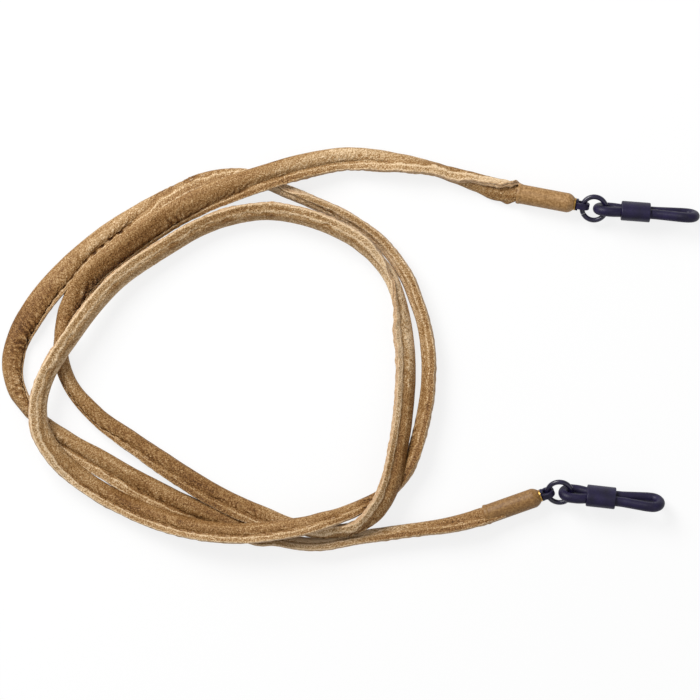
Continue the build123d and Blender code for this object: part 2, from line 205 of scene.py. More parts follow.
# One face of the flange from its raw edge to the tube, and one side of the cleft between its two
# layers from the edge to the core: along the flange, across it, and what the point is part of.
FLANGE_FACE = [
    (FLANGE_END - 0.01, 0.46, "edge"), (FLANGE_END - 0.1, 0.575, "rim"), (3.05, FLANGE_HALF, "flat"),
    (2.75, FLANGE_HALF, "flat"), (2.45, 0.59, "flat"), (2.17, 0.56, "ridge"),
    (SEAM_AT + 0.08, SEAM_HALF + 0.02, "seam"), (SEAM_AT - 0.06, SEAM_HALF, "seam"),
    (SEAM_AT - 0.2, 0.47, "tube"),
]
CLEFT_SIDE = [
    (FLANGE_END, 0.22, "edge"), (FLANGE_END - 0.05, 0.03, "gap"), (2.6, 0.02, "gap"), (1.5, 0.03, "gap"),
]

# The hollow that the core fills, and the angles in degrees of the points on one side of the tube
# and of the hollow.
CORE_HALF_LONG = 0.98
CORE_HALF_SHORT = 0.72
TUBE_ANGLES = (27, 36, 46, 57, 69, 82, 95, 108, 121, 134, 147, 159, 170)
HOLLOW_ANGLES = (20, 65, 110, 155)

# How much lower the soft oval tube lies than the round one of the part, how far from the strap's
# ends it is fully settled, in millimetres, and its least height over the surface.
SETTLED = TUBE_HALF_SHORT / ROUTE_RADIUS
ENTRY_LENGTH = 6.0
FLOOR_GAP = 0.03

# Where the leather is drawn into a ferrule, in millimetres from the strap's end: the stretch that
# the ferrule holds and squeezes, and the gathers outside it. The gathers slant by so many radians
# for each millimetre, and stand out by a share of the strap's size.
GRIPPED_LENGTH = 3.6
SQUEEZED = 0.97
GATHER_MIDDLE = 5.6
GATHER_HALF = 2.6
GATHER_END = 9.5
GATHERS = 7
GATHERS_A = (1.9, 0.09)
GATHERS_B = (1.1, 0.05)

# The core: strands laid together with one turn in each lay, a little flattened by the tube.
STRANDS = 3
STRAND_RADIUS = 0.36
STRAND_LAY = 5.0
STRAND_FLATTENED = 0.85

# The seam: running stitches on each face of the flange, none of them inside a ferrule.
STITCH_SPACING = 2.3
STITCH_LENGTH = 1.5
STITCH_RINGS = 7
STITCHES_AT = SEAM_AT + 0.02
THREAD_RADIUS = 0.11
# How deep a stitch's ends are sunk, how much its middle stands above them, how unevenly stitches lie
# from one to the next, and how thin the thread is pulled at its ends.
THREAD_SINK = 0.198
THREAD_BOW = 0.1
THREAD_UNEVEN = (0.06, 1.7, 1.0, 53.0)
THREAD_TIP = 0.35
FIRST_STITCH = 4
UNSTITCHED_AT_END = 3

# Sides of a strand or a stitch, which are too thin to need more.
ROUND_SIDES = 6

# Where the leather's shade starts in its ramp, before its patterns and tones are added.
BASE_TONE = -0.475

# What brings the noise's own range to about -1 to 1, and how narrow a crease is.
NOISE_STRETCH = 1.6
CREASE_NARROW = 4.0

# Waves of the leather's surface: how high in millimetres, how long in millimetres along the strap,
# how fast they change round the section, and a seed. The shades are waves of tone in the same form:
# painted shade in the seam's valley, and the rims' own paleness.
TUBE_SWELL = (0.045, 7.0, 0.6, 5.0)
TUBE_RIPPLE = (0.015, 1.9, 1.5, 7.7)
TUBE_FLUTE = (0.035, 16.0, 2.6, 61.0)
FLANGE_FLUTE = (0.05, 14.0, 2.4, 67.0)
EDGE_WANDER = (0.12, 5.0, 2.0, 11.0)
EDGE_RAGGED = (0.08, 1.1, 2.0, 13.0)
RUFFLE = (0.1, 9.0, 0.0, 17.0)
PINCHED_RUFFLE = (0.45, 2.0, 0.0, 19.0)
CRINKLE = (0.1, 1.1, 0.9, 23.0)
SEAM_WANDER = (0.17, 2.8, 1.0, 71.0)
SEAM_RAGGED = (0.07, 1.0, 1.0, 73.0)
SEAM_PAINTED_SHADE = (0.7, 3.0, 1.0, 47.0)
RIM_SHADE = (0.5, 0.9, 1.0, 29.0)

# The slant of all folds, for each radian round the tube.
SLANT = 0.75
# Pleats across the tube where it bends: their spacing in millimetres, how much the slant shifts
# them, what share of the strap has them, and how uneven and how clustered they are.
PLEAT_SPACING = 1.8
PLEAT_SLANT = 1.9
PLEAT_SHARE = 0.55
PLEAT_UNEVEN = (1.1, 4.0, 1.0, 41.0)
PLEAT_CLUSTER = (0.9, 5.0, 0.5, 43.0)
# Broad creases: how long, how fast they change round the tube, and a seed; and how much the slant
# shifts them.
BROAD_CREASE = (3.4, 0.5, 9.4)
CREASE_SLANT = 0.6
# How strongly both show on a straight stretch, and how much a full pinch adds; how deep they are in
# millimetres; and the band of the tube that has them, its middle and half width in radians from the
# seam.
PLEATS_STRAIGHT = 0.4
PLEATS_PINCHED = 1.1
CREASES_STRAIGHT = 0.12
CREASES_PINCHED = 0.4
FOLD_DEPTH = 0.2
FOLD_BAND = (0.45, 1.05)

# Stitch holes: how unevenly they are spaced and drawn in, how wide they are, the usual and the
# weakest of them as shares of the deepest, how deep and how far from the seam that one draws the
# leather in, in millimetres, and how soon rubbing smooths them away.
STITCH_UNEVEN = (0.8, 6.0, 0.0, 83.0)
STITCH_PULL = (0.8, 8.0, 0.0, 89.0)
HOLE_WIDE = 0.2
HOLE_USUAL = 0.75
HOLE_WEAKEST = 0.2
HOLE_DEPTH = 0.14
HOLE_REACH = 0.6
HOLE_SMOOTHED = 3.5

# The flange's crinkle where it isn't rubbed, as a share, and its thickness where it has no width.
CRINKLE_LEAST = 0.4
NARROW_THICKNESS = 0.5

# Tones, in the steps of TONES: painted light and shade, lighter on crests and darker in dips, for each
# millimetre of a swell and of the flange's flutes and for a full fold; a painted shadow beside the seam;
# painted shade in the valley of the seam, and the share that it has of the tube's tone; a painted shadow
# in a stitch hole; and the pale cut edges, which are paler where they are rubbed, the same paleness also
# painted along the ridge beside the seam as a painted highlight.
SWELL_PAINTED_SHADE = 4.0
FLUTE_PAINTED_SHADE = 5.0
FOLD_PAINTED_SHADE = -2.2
SHADOW_TONE = -0.5
SHADOW_BAND = (0.0, 0.6)
VALLEY_PAINTED_SHADE = -0.4
VALLEY_TUBE_SHARE = 0.6
HOLE_PAINTED_SHADOW = -3.5
EDGE_PALE_AND_RIDGE_HIGHLIGHT = 1.3
EDGE_RUBBED_TONE = 0.4
# Where the tube's far tone starts, in radians from the seam, and how many it takes to come in.
FAR_FROM = 1.9
FAR_FADE = 0.8

# How much fine wrinkling the leather's finish shows on the tube and on the flange, which also paints shade
# where it gathers.
TUBE_CRIMP = 0.3
FLANGE_CRIMP = 0.35
FLANGE_CRIMP_PINCHED = 0.3
# How tight a bend, as its curve per millimetre, pinches the leather fully.
FULL_PINCH = 1 / 18


def colour(code):
    """A hex sRGB colour as linear red, green, blue and alpha."""
    def linear(value):
        return value / 12.92 if value <= 0.04045 else ((value + 0.055) / 1.055) ** 2.4
    return [linear(int(code[i : i + 2], 16) / 255) for i in (1, 3, 5)] + [1.0]


def clamped(value, low=0.0, high=1.0):
    """The value, or the nearer limit."""
    return min(max(value, low), high)


def cells(size):
    """A pattern's scale, in cells to a metre, from the size of one in millimetres."""
    return 1 / (size * MM)


def material(name):
    """A new material with an empty node tree and its output node."""
    made = bpy.data.materials.new(name)
    made.use_nodes = True
    made.node_tree.nodes.clear()
    made.node_tree.nodes.new("ShaderNodeOutputMaterial")
    return made


def set_stops(elements, stops):
    """Gives a colour ramp its stops: a place and a hex sRGB colour each, from left to right."""
    while len(elements) < len(stops):
        elements.new(0.5)
    for element, (place, code) in zip(elements, stops):
        element.position = place
        element.color = colour(code)


def add_node(made, kind, settings=None, links=None):
    """Adds a node, sets its stops, properties and inputs, by name or number, and links its inputs."""
    node = made.node_tree.nodes.new("ShaderNode" + kind)
    for key, value in (settings or {}).items():
        if key == "stops":
            set_stops(node.color_ramp.elements, value)
        elif isinstance(key, int) or (key in node.inputs and not hasattr(type(node), key)):
            node.inputs[key].default_value = value
        else:
            setattr(node, key, value)
    for key, socket in (links or {}).items():
        made.node_tree.links.new(socket, node.inputs[key])
    return node


def output(made, shader):
    """The material, with a shader node linked to its output."""
    end = made.node_tree.nodes["Material Output"]
    made.node_tree.links.new(shader.outputs[0], end.inputs["Surface"])
    return made


# ---------------------------------------------------------------- view, lights and surface

def look_down():
    """The camera, straight above the middle of the view."""
    camera = bpy.data.cameras.new("camera")
    camera.sensor_width = 36
    camera.lens = camera.sensor_width * CAMERA_HEIGHT / VIEW_WIDTH
    camera.clip_end = 10
    holder = bpy.data.objects.new("camera", camera)
    holder.location = VIEW_CENTRE + Vector((0, 0, CAMERA_HEIGHT))
    bpy.context.scene.collection.objects.link(holder)
    bpy.context.scene.camera = holder


def add_lamp(name, place, size, watts):
    """A square area lamp aimed at the middle of the strap."""
    lamp = bpy.data.lights.new(name, "AREA")
    lamp.shape = "SQUARE"
    lamp.size = size
    lamp.energy = watts
    holder = bpy.data.objects.new(name, lamp)
    holder.location = place
    holder.rotation_euler = (-Vector(place)).to_track_quat("-Z", "Y").to_euler()
    bpy.context.scene.collection.objects.link(holder)


def paper_surface():
    """White paper: matt, and shown nearly white to the camera and in reflections, with soft shadows."""
    made = material("matt_white_paper")
    path = add_node(made, "LightPath")
    rays = {0: path.outputs["Is Camera Ray"], 1: path.outputs["Is Glossy Ray"]}
    seen = add_node(made, "Math", {"operation": "MAXIMUM"}, rays)
    share = add_node(made, "Math", {"operation": "MULTIPLY", 1: PAPER_WHITE}, {0: seen.outputs[0]})
    body = add_node(made, "BsdfDiffuse", {"Color": colour("#eeeeee")})
    glow = add_node(made, "Emission", {"Color": colour("#ffffff"), "Strength": 1.0})
    mixed = {0: share.outputs[0], 1: body.outputs[0], 2: glow.outputs[0]}
    return output(made, add_node(made, "MixShader", links=mixed))


def set_stage():
    """The surface that the strap lies on, the soft sky and the lamps."""
    bpy.ops.mesh.primitive_plane_add(size=PAPER_SIZE)
    surface = bpy.context.object
    surface.name = "surface"
    surface.data.materials.append(paper_surface())
    world = bpy.data.worlds.new("studio")
    world.use_nodes = True
    sky = world.node_tree.nodes["Background"]
    sky.inputs["Color"].default_value = colour("#ffffff")
    sky.inputs["Strength"].default_value = SKY_STRENGTH
    bpy.context.scene.world = world
    add_lamp("key", place=(-0.32, 0.38, 0.44), size=0.35, watts=5.0)
    add_lamp("fill", place=(0.5, -0.5, 0.8), size=0.8, watts=1.6)
    bpy.context.scene.view_settings.view_transform = "Standard"


# ---------------------------------------------------------------- the strap's line

def spline_points():
    """Close points along the smooth spline through the route, and the route place of each."""
    curve = bpy.data.curves.new("strap_route", "CURVE")
    curve.dimensions = "3D"
    curve.resolution_u = SPLINE_STEPS
    spline = curve.splines.new("NURBS")
    spline.points.add(len(ROUTE) - 1)
    for point, (x, y, lift) in zip(spline.points, ROUTE):
        point.co = (x * MM, y * MM, (lift + ROUTE_RADIUS) * MM, 1)
    spline.order_u = 3
    spline.use_endpoint_u = True
    holder = bpy.data.objects.new("strap_route", curve)
    bpy.context.scene.collection.objects.link(holder)
    line = bpy.data.meshes.new_from_object(holder)
    points = [vertex.co / MM for vertex in line.vertices]
    bpy.data.objects.remove(holder)
    # The spline has one span fewer than the route has runs: between route points it is half a point
    # behind them, and it starts and ends on them.
    places = []
    for i in range(len(points)):
        span = i / (len(points) - 1) * (len(ROUTE) - 2)
        places.append(clamped(span + 0.5 - max(0, 0.5 - span), 0, len(ROUTE) - 1))
    return points, places


def even_stations(points, places):
    """The same line at even steps: centre, distance along, and route place."""
    stations = [(points[0], 0.0, 0.0)]
    travelled = 0.0
    target = STATION_STEP
    for i in range(1, len(points)):
        run = (points[i] - points[i - 1]).length
        while travelled + run >= target:
            share = (target - travelled) / run
            centre = points[i - 1].lerp(points[i], share)
            place = places[i - 1] + (places[i] - places[i - 1]) * share
            stations.append((centre, target, place))
            target += STATION_STEP
        travelled += run
    stations.append((points[-1], travelled, len(ROUTE) - 1.0))
    return stations


def looked_up(table, place):
    """A table's columns at a route place, eased between the places that it gives."""
    low, high = table[-2:]
    for before, after in zip(table, table[1:]):
        if place <= after[0]:
            low, high = before, after
            break
    share = (place - low[0]) / (high[0] - low[0])
    eased = share * share * (3 - 2 * share)
    return [a + (b - a) * eased for a, b in zip(low[1:], high[1:])]


def from_ferrule(along):
    """How far a place along the strap is from the nearer end, in millimetres."""
    return min(along, STRAP_LENGTH / MM - along)


def strap_frames():
    """What shapes the strap at each station: its place and turn, its size, wear, tones and bend."""
    stations = even_stations(*spline_points())
    centres = [station[0] for station in stations]
    frames = []
    for i, (centre, along, place) in enumerate(stations):
        before = centres[max(i - WAY_REACH, 0)]
        after = centres[min(i + WAY_REACH, len(centres) - 1)]
        way = (after - before).normalized()
        left = Vector((-way.y, way.x, 0)).normalized()
        up = way.cross(left)
        angle, lean, width, sideways, fullness, rubbed = looked_up(LIE, place)
        angle, lean = math.radians(angle), math.radians(lean)
        near_tone, far_tone, flange_tone = looked_up(TONES, place)
        [wrinkled] = looked_up(WRINKLED, place)
        flange = left * math.cos(angle) + up * math.sin(angle)
        leaning = left * math.cos(angle + lean) + up * math.sin(angle + lean)
        half_long = TUBE_HALF_LONG * fullness
        half_short = TUBE_HALF_SHORT / math.sqrt(fullness)
        half_height = math.hypot(half_long * math.sin(angle), half_short * math.cos(angle))
        settled = min(1.0, from_ferrule(along) / ENTRY_LENGTH)
        middle = centre + left * sideways
        lowered = centre.z * SETTLED + half_height - TUBE_HALF_SHORT
        middle.z = centre.z + (lowered - centre.z) * settled
        behind = centres[max(i - BEND_REACH, 0)]
        ahead = centres[min(i + BEND_REACH, len(centres) - 1)]
        bend = (behind + ahead - 2 * centre) / (BEND_REACH * STATION_STEP) ** 2
        frames.append(
            {
                "middle": middle,
                "centre": centre,
                "flange": flange,
                "lift": way.cross(flange),
                "lean": lean,
                "along": along,
                "width": width,
                "fullness": fullness,
                "rubbed": rubbed,
                "near_tone": near_tone,
                "far_tone": far_tone,
                "flange_tone": flange_tone,
                "wrinkled": wrinkled,
                "pinch": clamped(bend.dot(leaning) * wrinkled / FULL_PINCH),
            }
        )
    return frames


# ---------------------------------------------------------------- the leather cover

def section_outline():
    """The folded strip's section: (u along the flange, v across, kind, angle round the tube)."""
    outside = [(u, v, kind, 0.0) for u, v, kind in FLANGE_FACE]
    for degrees in TUBE_ANGLES:
        turn = math.radians(degrees)
        outside.append((TUBE_HALF_LONG * math.cos(turn), TUBE_HALF_SHORT * math.sin(turn), "tube", turn))
    inside = [(u, v, kind, 0.0) for u, v, kind in CLEFT_SIDE]
    for degrees in HOLLOW_ANGLES:
        turn = math.radians(degrees)
        inside.append((CORE_HALF_LONG * math.cos(turn), CORE_HALF_SHORT * math.sin(turn), "gap", 0.0))
    far_side = [(-TUBE_HALF_LONG, 0.0, "tube", math.pi)]
    return outside + far_side + mirrored(outside)[::-1] + mirrored(inside) + inside[::-1]


def mirrored(points):
    """Section points on the other side of the flange's middle."""
    return [(u, -v, kind, -turn) for u, v, kind, turn in points]


def wave(x, y, seed):
    """Smooth noise from about -1 to 1."""
    return noise.noise(Vector((x, y, seed))) * NOISE_STRETCH


def ripple(facts, along, across):
    """A wave of the surface at a place along the strap and round its section, in millimetres."""
    height, length, change, seed = facts
    return height * wave(along / length, across * change, seed)


def crease(x, y, seed):
    """Thin valleys: 1 on a crease and 0 away from it."""
    return max(0.0, 1.0 - abs(wave(x, y, seed)) * CREASE_NARROW)


def hump(value, middle, half):
    """1 at the middle, falling away smoothly on both sides of it."""
    return math.exp(-(((value - middle) / half) ** 2))


def pleat(along, slant):
    """Uneven slanting pleats, in clusters: 1 in a valley, -1 on a crest and 0 between clusters."""
    phase = along / PLEAT_SPACING + PLEAT_SLANT * slant + ripple(PLEAT_UNEVEN, along, slant)
    swing = math.cos(2 * math.pi * phase)
    return swing * abs(swing) * clamped(PLEAT_SHARE + ripple(PLEAT_CLUSTER, along, slant))


def pulled(along):
    """How far the seam is drawn in by its thread: 1 in a hole between two stitches, 0 under one."""
    phase = 2 * math.pi * along / STITCH_SPACING + ripple(STITCH_UNEVEN, along, 0.0)
    hole = clamped((math.cos(phase) + HOLE_WIDE) / (1 + HOLE_WIDE))
    return hole * clamped(HOLE_USUAL + ripple(STITCH_PULL, along, 0.0), HOLE_WEAKEST)


def shaped_tube(u, v, turn, station):
    """A point of the tube, at its angle from the seam: u, v, tone and crimp, swollen and folded."""
    along = station["along"]
    pinch = station["pinch"]
    slant = abs(turn) * SLANT
    length, change, seed = BROAD_CREASE
    broad = crease(along / length + slant * CREASE_SLANT, turn * change, seed)
    folds = (PLEATS_STRAIGHT + PLEATS_PINCHED * pinch) * pleat(along, slant)
    folds += (CREASES_STRAIGHT + CREASES_PINCHED * pinch) * broad
    in_band = hump(abs(turn), *FOLD_BAND)
    deep = in_band * folds * station["wrinkled"]
    flute = ripple(TUBE_FLUTE, along, turn)
    swell = ripple(TUBE_SWELL, along, turn) + ripple(TUBE_RIPPLE, along, turn) + flute
    size = 1.0 + (swell - FOLD_DEPTH * deep) / TUBE_HALF_SHORT
    # Painted light and shade: the tube's sides near and away from the seam take their tones, swells and folds
    # are painted lighter on crests and darker in dips, and a painted shadow lies beside the seam.
    away = clamped((abs(turn) - FAR_FROM) / FAR_FADE)
    tone = station["near_tone"] * (1 - away) + station["far_tone"] * away
    tone += SWELL_PAINTED_SHADE * (swell + flute) + FOLD_PAINTED_SHADE * deep
    tone += SHADOW_TONE * hump(abs(turn), *SHADOW_BAND)
    crimp = TUBE_CRIMP + (1 - TUBE_CRIMP) * in_band * min(1.0, 2 * pinch)
    return u * size * station["fullness"], v * size / math.sqrt(station["fullness"]), tone, crimp


def shaped_flange(u, v, point, station):
    """A point of the flange: u, v, tone, wear and crimp, with a wandering edge and ruffles."""
    along = station["along"]
    pinch = station["pinch"]
    wear = station["rubbed"]
    side = 1.0 if v > 0 else -1.0
    reach = (point[0] - SEAM_AT) / (FLANGE_END - SEAM_AT)
    u += (ripple(EDGE_WANDER, along, side) + ripple(EDGE_RAGGED, along, side)) * reach
    v += (ripple(RUFFLE, along, 0) + pinch * ripple(PINCHED_RUFFLE, along, 0)) * reach * reach
    if point[2] != "gap":
        v += (CRINKLE_LEAST + wear * wear) * ripple(CRINKLE, along, u) * reach
    height, length, change, seed = FLANGE_FLUTE
    flute = height * wave(along / length, point[0] * change, seed + side)
    # Painted light and shade: the flutes are lighter on their crests and darker in their dips.
    tone = station["flange_tone"] + FLUTE_PAINTED_SHADE * flute
    return u, v + side * flute * reach, tone, wear, FLANGE_CRIMP + FLANGE_CRIMP_PINCHED * pinch


def shaped(point, station):
    """A section point as this station holds it: u, v, tone, wear and crimp, with its wrinkles."""
    u, v, kind, turn = point
    along = station["along"]
    width = station["width"]
    side = 1.0 if v > 0 else -1.0
    tone = wear = crimp = 0.0
    grow = TUBE_HALF_LONG * (station["fullness"] - 1)
    root = FLANGE_ROOT + grow
    if turn:
        u, v, tone, crimp = shaped_tube(u, v, turn, station)
    else:
        u += grow
    if kind in ("edge", "rim", "flat", "ridge", "gap") and point[0] > SEAM_AT:
        u, v, tone, wear, crimp = shaped_flange(u, v, point, station)
    in_valley = kind == "seam" or (kind == "tube" and not turn)
    drawn_in = pulled(along) * max(0.0, 1.0 - HOLE_SMOOTHED * station["rubbed"])
    if in_valley or kind == "ridge":
        v -= side * HOLE_DEPTH * drawn_in * max(0.0, 1.0 - abs(point[0] - SEAM_AT) / HOLE_REACH)
    # Painted shade in the seam's valley, with a painted shadow in each stitch hole.
    if in_valley:
        tone = VALLEY_TUBE_SHARE * station["near_tone"] + VALLEY_PAINTED_SHADE + HOLE_PAINTED_SHADOW * drawn_in
        tone -= ripple(SEAM_PAINTED_SHADE, along, side)
    # The ridge beside the seam is painted as pale as the cut edges: a painted highlight on its crest.
    if kind == "ridge":
        tone += EDGE_PALE_AND_RIDGE_HIGHLIGHT
    if kind in ("rim", "edge"):
        tone = station["flange_tone"] + EDGE_PALE_AND_RIDGE_HIGHLIGHT + EDGE_RUBBED_TONE * wear
        tone += ripple(RIM_SHADE, along, side)
    if kind in ("seam", "ridge"):
        u += ripple(SEAM_WANDER, along, side) + ripple(SEAM_RAGGED, along, side)
    if u > root:
        u = root + (u - root) * width
        if kind != "tube":
            v *= min(1.0, NARROW_THICKNESS + (1 - NARROW_THICKNESS) * width)
    u, v = leaned(u - grow, v, station["lean"])
    return u + grow, v, tone, wear, crimp


def leaned(u, v, lean):
    """Bends the flange over at the seam, turning what is beyond it by the lean."""
    beyond = u - LEAN_FROM
    if beyond <= 0 or not lean:
        return u, v
    turn = lean * min(1.0, beyond / LEAN_OVER)
    out = beyond * math.cos(turn) - v * math.sin(turn)
    return LEAN_FROM + out, beyond * math.sin(turn) + v * math.cos(turn)


def gathered(u, v, station):
    """Draws the leather in where it enters a ferrule, in slanting gathers that are deeper at end A."""
    along = station["along"]
    from_end = from_ferrule(along)
    if from_end > GATHER_END:
        return u, v
    slant, depth = GATHERS_A if along < STRAP_LENGTH / MM / 2 else GATHERS_B
    fold = math.sin(GATHERS * math.atan2(v, u) + slant * from_end)
    share = max(0.0, 1.0 - abs(from_end - GATHER_MIDDLE) / GATHER_HALF)
    grow = (1.0 + depth * fold * share) * (SQUEEZED if from_end < GRIPPED_LENGTH else 1.0)
    return u * grow, v * grow


def placed(station, u, v):
    """A section point in millimetres, kept on or above the surface."""
    spot = station["middle"] + station["flange"] * u + station["lift"] * v
    spot.z = max(spot.z, FLOOR_GAP)
    return spot


def new_piece(name, mesh_data, materials):
    """A mesh object in the scene from a bmesh in millimetres."""
    mesh = bpy.data.meshes.new(name)
    mesh_data.transform(Matrix.Scale(MM, 4))
    mesh_data.to_mesh(mesh)
    mesh_data.free()
    for face in mesh.polygons:
        face.use_smooth = True
    for made in materials:
        mesh.materials.append(made)
    piece = bpy.data.objects.new(name, mesh)
    bpy.context.scene.collection.objects.link(piece)
    return piece


def leather_cover(frames, grain_side, raw_edge):
    """The strip folded round the core: its outside, its raw edges, and its inside."""
    outline = section_outline()
    around = len(outline)
    built = bmesh.new()
    marks = [built.verts.layers.float.new(name) for name in ("tone", "wear", "crimp")]
    uv_layer = built.loops.layers.uv.new("strip")
    rings = []
    for station in frames:
        ring = []
        for point in outline:
            u, v, *values = shaped(point, station)
            u, v = gathered(u, v, station)
            vertex = built.verts.new(placed(station, u, v))
            for mark, value in zip(marks, values):
                vertex[mark] = value
            ring.append(vertex)
        rings.append(ring)
    for i, (ring, after) in enumerate(zip(rings, rings[1:])):
        for j in range(around):
            k = (j + 1) % around
            face = built.faces.new((ring[j], ring[k], after[k], after[j]))
            raw = outline[j][2] in ("edge", "gap") or outline[k][2] == "gap"
            face.material_index = 1 if raw else 0
            corners = ((j, i), (j + 1, i), (j + 1, i + 1), (j, i + 1))
            for loop, (column, row) in zip(face.loops, corners):
                loop[uv_layer].uv = (column / around, row * STATION_STEP / PATTERN_LENGTH)
    for ring in (rings[0], rings[-1]):
        cap = built.faces.new(ring)
        cap.material_index = 1
    bmesh.ops.recalc_face_normals(built, faces=built.faces)
    return new_piece("strap_cover_leather", built, [grain_side, raw_edge])


def ring_round(u, v, across, up):
    """Points of the section on an oval round (u, v), with its two radii."""
    turns = [2 * math.pi * corner / ROUND_SIDES for corner in range(ROUND_SIDES)]
    return [(u + across * math.cos(turn), v + up * math.sin(turn)) for turn in turns]


def skin(built, rings):
    """Joins rings of vertices into a closed tube."""
    for ring, after in zip(rings, rings[1:]):
        for j in range(ROUND_SIDES):
            k = (j + 1) % ROUND_SIDES
            built.faces.new((ring[j], ring[k], after[k], after[j]))
    built.faces.new(rings[0])
    built.faces.new(rings[-1])


def core_cord(frames, cotton):
    """The twisted cord that fills the leather tube: strands laid together."""
    built = bmesh.new()
    for strand in range(STRANDS):
        rings = []
        # Every second station is close enough for the core's bends and its lay.
        for station in frames[::2]:
            spin = 2 * math.pi * (strand / STRANDS + station["along"] / STRAND_LAY)
            u = STRAND_RADIUS * math.cos(spin)
            v = STRAND_FLATTENED * STRAND_RADIUS * math.sin(spin)
            outline = ring_round(u, v, STRAND_RADIUS, STRAND_FLATTENED * STRAND_RADIUS)
            rings.append([built.verts.new(placed(station, *point)) for point in outline])
        skin(built, rings)
    bmesh.ops.recalc_face_normals(built, faces=built.faces)
    return new_piece("core_cord_cotton", built, [cotton])


def stitch_ring(frames, number, side, share):
    """One ring of a stitch, share of the way from its middle to an end, sunk at both its ends."""
    place = ((number + 0.5) * STITCH_SPACING + share * STITCH_LENGTH / 2) / STATION_STEP
    station = frames[round(place)]
    near, after = frames[int(place)], frames[int(place) + 1]
    spot = {key: near[key].lerp(after[key], place % 1) for key in ("middle", "flange", "lift")}
    bow = math.sqrt(1 - share * share)
    lift = SEAM_HALF - THREAD_SINK + ripple(THREAD_UNEVEN, number, side) + THREAD_BOW * bow
    radius = THREAD_RADIUS * (THREAD_TIP + (1 - THREAD_TIP) * bow)
    seam = FLANGE_ROOT + (STITCHES_AT - FLANGE_ROOT) * station["width"]
    grow = TUBE_HALF_LONG * (station["fullness"] - 1)
    leaning = [leaned(u, v, station["lean"]) for u, v in ring_round(seam, side * lift, radius, radius)]
    return [placed(spot, u + grow, v) for u, v in leaning]


def seam_stitches(frames, thread):
    """The running stitches in the seam, one row on each face of the flange."""
    built = bmesh.new()
    last = int(frames[-1]["along"] / STITCH_SPACING) - UNSTITCHED_AT_END
    shares = [2 * step / (STITCH_RINGS - 1) - 1 for step in range(STITCH_RINGS)]
    for number in range(FIRST_STITCH, last):
        for side in (1, -1):
            rings = [stitch_ring(frames, number, side, share) for share in shares]
            skin(built, [[built.verts.new(point) for point in ring] for ring in rings])
    bmesh.ops.recalc_face_normals(built, faces=built.faces)
    return new_piece("seam_stitches", built, [thread])


# ---------------------------------------------------------------- finishes

def tan_nappa():
    """Soft tan nappa leather, grain side: matt and finely pebbled, with painted shade in its creases and the
    strap's painted light and shade carried in its tone.
    """
    made = material("tan_nappa_grain_side")
    where = {"Vector": add_node(made, "TexCoord").outputs["Object"]}
    strip = {"Vector": add_node(made, "UVMap", {"uv_map": "strip"}).outputs["UV"]}
    tone, wear, crimp = (
        add_node(made, "Attribute", {"attribute_name": name}).outputs["Fac"]
        for name in ("tone", "wear", "crimp")
    )
    # Clouds 6 mm across, and grain 0.2 mm across that is stronger where the skin is rubbed.
    cloud = add_node(made, "TexNoise", {"Scale": cells(6.25), "Detail": 3.0, "Roughness": 0.6}, where)
    speck = add_node(made, "TexNoise", {"Scale": cells(0.2174), "Detail": 1.0, "Roughness": 0.6}, where)
    strong = add_node(made, "Math", {"operation": "MULTIPLY_ADD", 1: 0.2, 2: 0.9}, {0: wear})
    grain = add_node(made, "Math", {"operation": "MULTIPLY"}, {0: speck.outputs["Fac"], 1: strong.outputs[0]})
    # Fine lines along the strip, 0.5 mm apart and 6 mm long, and slanting wrinkles 0.3 mm apart and
    # 2 mm long, which the crimp holds back or brings out.
    streaks = {"Scale": 1.0, "Detail": 3.0, "Roughness": 0.6}
    lines = {"Scale": (PATTERN_GIRTH / 0.5, PATTERN_LENGTH / 6.25, 1.0)}
    drawn = add_node(made, "Mapping", lines, strip)
    line = add_node(made, "TexNoise", streaks, {"Vector": drawn.outputs[0]})
    wrinkles = {"Scale": (2.1 / PATTERN_GIRTH, 0.3 / PATTERN_LENGTH, 1.0), "Rotation": (0, 0, -1.0)}
    slanted = add_node(made, "Mapping", {"vector_type": "TEXTURE", **wrinkles}, strip)
    wrinkle = add_node(made, "TexNoise", streaks, {"Vector": slanted.outputs[0]})
    held = add_node(made, "Math", {"operation": "MULTIPLY"}, {0: wrinkle.outputs["Fac"], 1: crimp})
    # How light the skin is: the sum of these, each with its weight. The tone carries painted light and
    # shade; the wrinkles are painted lighter on their crests, a painted highlight, and the crimp paints
    # shade where they gather.
    lights = (
        (cloud.outputs["Fac"], 0.2),
        (line.outputs["Fac"], 0.45),
        (grain.outputs[0], 1.5),
        (wear, -0.15),
        (tone, 0.24),
        (held.outputs[0], 1.4),
        (crimp, -0.7),
    )
    light = None
    for source, weight in lights:
        links = {0: source, 2: light} if light else {0: source}
        settings = {"operation": "MULTIPLY_ADD", 1: weight, 2: BASE_TONE}
        light = add_node(made, "Math", settings, links).outputs[0]
    stops = [(0.05, "#482a0a"), (0.3, "#764f24"), (0.5, "#926e42"), (0.7, "#ad8c62"), (0.95, "#dabf9b")]
    shade = add_node(made, "ValToRGB", {"stops": stops}, {"Fac": light})
    # Pebbles 0.4 mm across, and the same wrinkles.
    pebble = add_node(made, "TexVoronoi", {"feature": "SMOOTH_F1", "Scale": cells(0.3846)}, where)
    height = {"Height": pebble.outputs["Distance"]}
    pebbled = add_node(made, "Bump", {"Strength": 0.6, "Distance": 0.2 * MM}, height)
    height = {"Height": held.outputs[0], "Normal": pebbled.outputs["Normal"]}
    wrinkled = add_node(made, "Bump", {"Strength": 0.8, "Distance": 0.6 * MM}, height)
    matt = {"Roughness": 0.6, "Specular IOR Level": 0.22}
    looks = {"Base Color": shade.outputs["Color"], "Normal": wrinkled.outputs["Normal"]}
    return output(made, add_node(made, "BsdfPrincipled", matt, looks))


